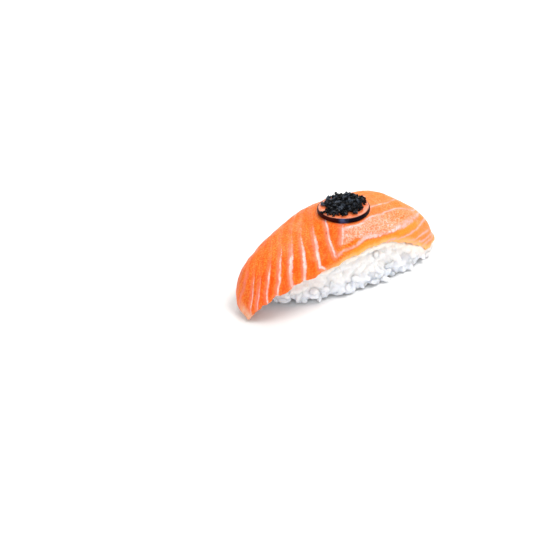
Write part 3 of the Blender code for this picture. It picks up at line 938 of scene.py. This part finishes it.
def make_camera(settings):
    azimuth, height = settings.azimuth, settings.elevation
    aim = Vector((0, 0, 0.013)) + Vector((SHIFT.x, SHIFT.y, 0)) * MM
    toward = Vector((math.sin(azimuth) * math.cos(height), -math.cos(azimuth) * math.cos(height),
                     math.sin(height)))
    camera = bpy.data.objects.new("camera", bpy.data.cameras.new("camera"))
    camera.location = aim + toward * settings.distance
    camera.rotation_euler = (-toward).to_track_quat("-Z", "Y").to_euler()
    camera.data.lens, camera.data.shift_x, camera.data.shift_y = settings.lens, -0.1315, -0.0544
    camera.data.clip_start = 0.01
    bpy.context.scene.collection.objects.link(camera)
    bpy.context.scene.camera = camera


def make_stage(settings):
    make_floor(settings)
    aim = Vector((0, 0, 0.015))
    make_light("key", (0.25, -0.25, 0.75), aim, 0.45, settings.key_power)
    make_light("back", (0.35, 0.45, 0.45), aim, 0.35, settings.key_power * 0.45)
    make_light("fill", (-0.5, -0.5, 0.35), aim, 0.5, settings.key_power * 0.42)
    world = bpy.data.worlds.new("studio")
    world.use_nodes = True
    world.node_tree.nodes["Background"].inputs["Color"].default_value = (1, 1, 1, 1)
    world.node_tree.nodes["Background"].inputs["Strength"].default_value = settings.sky
    bpy.context.scene.world = world
    view = bpy.context.scene.view_settings
    view.view_transform, view.look, view.exposure = "Standard", "None", 0.0
    make_camera(settings)


# ---------------------------------------------------------------- settings, operators, panel

def shade(name, text, value):
    return FloatVectorProperty(name=name, description=text, subtype="COLOR", size=3, default=value,
                               min=0, max=1)


class SliceSettings(bpy.types.PropertyGroup):
    rows: IntProperty(name="Rows", description="Points along the slice", default=270, min=40)
    columns: IntProperty(name="Columns", description="Points across the slice", default=133, min=21)
    # partly the flesh's own redder tone, partly painted shade on the left flank
    left_flesh_and_shade: shade("Left flesh", "Colour of the flesh at the low left end", (0.70, 0.064, 0.002))
    right_flesh: shade("Right flesh", "Colour of the flesh at the right end", (0.98, 0.235, 0.003))
    deep_flesh: shade("Deep flesh", "Colour of the flesh between the slanting lines", (0.96, 0.086, 0.001))
    band_flesh: shade("Side band", "Colour of the smooth side below the lengthwise line", (1.0, 0.305, 0.014))
    # the pale flecks are partly the flesh's own grain and partly painted sparkle
    pale_flesh: shade("Pale flesh", "Colour of the pale flecks of grainy flesh", (0.96, 0.48, 0.34))
    rim_flesh: shade("Rim", "Colour of the thin lower rim", (0.98, 0.51, 0.18))
    blush: shade("Blush", "Pink beside the fat lines", (0.88, 0.25, 0.18))
    pink_fat: shade("Pink fat", "Colour of the thin and pink parts of the fat lines", (0.90, 0.37, 0.30))
    fat: shade("Fat", "Colour of the fat lines", (0.88, 0.66, 0.64))


class RiceSettings(bpy.types.PropertyGroup):
    grain_length: FloatProperty(name="Grain length", description="Length of a grain in mm", default=5.1)
    grain_width: FloatProperty(name="Grain width", description="Width of a grain in mm", default=2.45)
    spacing: FloatProperty(name="Spacing", description="Closest pressed grains, in widths", default=0.50)
    tries: IntProperty(name="Tries", description="Pressed grains tried", default=9000)
    loose_tries: IntProperty(name="Loose tries", description="Loose grains tried", default=700)
    fuse_size: FloatProperty(name="Fuse size", description="Finest fused detail in mm", default=0.38)
    soften: IntProperty(name="Soften", description="Softening passes over the fused grains", default=14)
    seed: IntProperty(name="Seed", description="Seed of the packing", default=5)
    rice_colour: shade("Rice", "Colour of the rice", (0.86, 0.835, 0.82))
    rice_shade: shade("Rice shade", "Colour of the clearer grains", (0.80, 0.785, 0.785))
    # painted shade: bluish grey standing in for the cool shade near the floor
    shaded_low_rice: shade("Low rice", "Colour of the rice near the floor", (0.74, 0.80, 0.92))
    # painted reflection: warm light bounced from the salmon onto the rice beside the slice
    bounce_lit_rice: shade("Bounce-lit rice", "Colour of the rice against the slice", (0.93, 0.74, 0.62))


class ToppingSettings(bpy.types.PropertyGroup):
    flesh: shade("Fruit flesh", "Colour of the fruit flesh", (0.78, 0.185, 0.070))
    pale_flesh: shade("Pale flesh", "Colour of the flesh next to the skin", (0.72, 0.28, 0.18))
    skin: shade("Skin", "Colour of the skin", (0.003, 0.0012, 0.005))
    crumb_size: FloatProperty(name="Crumb size", description="Width of a crumb in mm", default=1.2)
    crumb_tries: IntProperty(name="Crumb tries", description="Crumbs tried", default=9000)
    crumb_colour: shade("Crumbs", "Colour of the crumbs", (0.0012, 0.0014, 0.0020))
    seed: IntProperty(name="Seed", description="Seed of the scatter", default=11)


class StageSettings(bpy.types.PropertyGroup):
    azimuth: FloatProperty(name="Azimuth", description="Camera direction round the piece", subtype="ANGLE",
                           default=math.radians(-40))
    elevation: FloatProperty(name="Elevation", description="Camera height angle", subtype="ANGLE",
                             default=math.radians(27))
    distance: FloatProperty(name="Distance", description="Camera distance", unit="LENGTH", default=0.62)
    lens: FloatProperty(name="Lens", description="Focal length in mm", default=124.0)
    key_power: FloatProperty(name="Key power", description="Power of the main light in W", default=4.5)
    sky: FloatProperty(name="Sky", description="Strength of the even light", default=0.60)
    floor_colour: shade("Floor", "Colour of the floor", (0.86, 0.86, 0.85))


def settings(name):
    return getattr(bpy.context.scene, "nigiri_" + name)


class NIGIRI_OT_rice(bpy.types.Operator):
    """Build the pressed rice and its loose outer grains"""
    bl_idname = "nigiri.rice"
    bl_label = "Rice"

    def execute(self, context):
        make_pressed_rice(settings("rice"))
        make_loose_grains(settings("rice"))
        return {"FINISHED"}


class NIGIRI_OT_slice(bpy.types.Operator):
    """Build the draped salmon slice with its fat lines"""
    bl_idname = "nigiri.slice"
    bl_label = "Salmon slice"

    def execute(self, context):
        make_slice(settings("slice"))
        return {"FINISHED"}


class NIGIRI_OT_topping(bpy.types.Operator):
    """Build the fruit slice and the heap of black crumbs"""
    bl_idname = "nigiri.topping"
    bl_label = "Fruit slice and crumbs"

    def execute(self, context):
        make_fruit(settings("topping"))
        make_crumbs(settings("topping"))
        return {"FINISHED"}


class NIGIRI_OT_stage(bpy.types.Operator):
    """Set up the floor, the soft lights and the camera"""
    bl_idname = "nigiri.stage"
    bl_label = "Stage"

    def execute(self, context):
        make_stage(settings("stage"))
        return {"FINISHED"}


class NIGIRI_PT_panel(bpy.types.Panel):
    """Lists the operators and their settings"""
    bl_label = "Salmon Nigiri"
    bl_idname = "NIGIRI_PT_panel"
    bl_space_type = "VIEW_3D"
    bl_region_type = "UI"
    bl_category = "Nigiri"

    def draw(self, context):
        for name, group in GROUPS.items():
            box = self.layout.box()
            box.operator("nigiri." + name)
            for key in group.__annotations__:
                box.prop(settings(name), key)


GROUPS = {"slice": SliceSettings, "rice": RiceSettings, "topping": ToppingSettings, "stage": StageSettings}
OPERATORS = (NIGIRI_OT_rice, NIGIRI_OT_slice, NIGIRI_OT_topping, NIGIRI_OT_stage)


def register():
    for cls in (*GROUPS.values(), *OPERATORS, NIGIRI_PT_panel):
        bpy.utils.register_class(cls)
    for name, group in GROUPS.items():
        setattr(bpy.types.Scene, "nigiri_" + name, PointerProperty(type=group))


def unregister():
    for name in GROUPS:
        delattr(bpy.types.Scene, "nigiri_" + name)
    for cls in reversed((*GROUPS.values(), *OPERATORS, NIGIRI_PT_panel)):
        bpy.utils.unregister_class(cls)


def main():
    register()
    bpy.ops.nigiri.rice()
    bpy.ops.nigiri.slice()
    bpy.ops.nigiri.topping()
    bpy.ops.nigiri.stage()


if __name__ == "__main__":
    main()
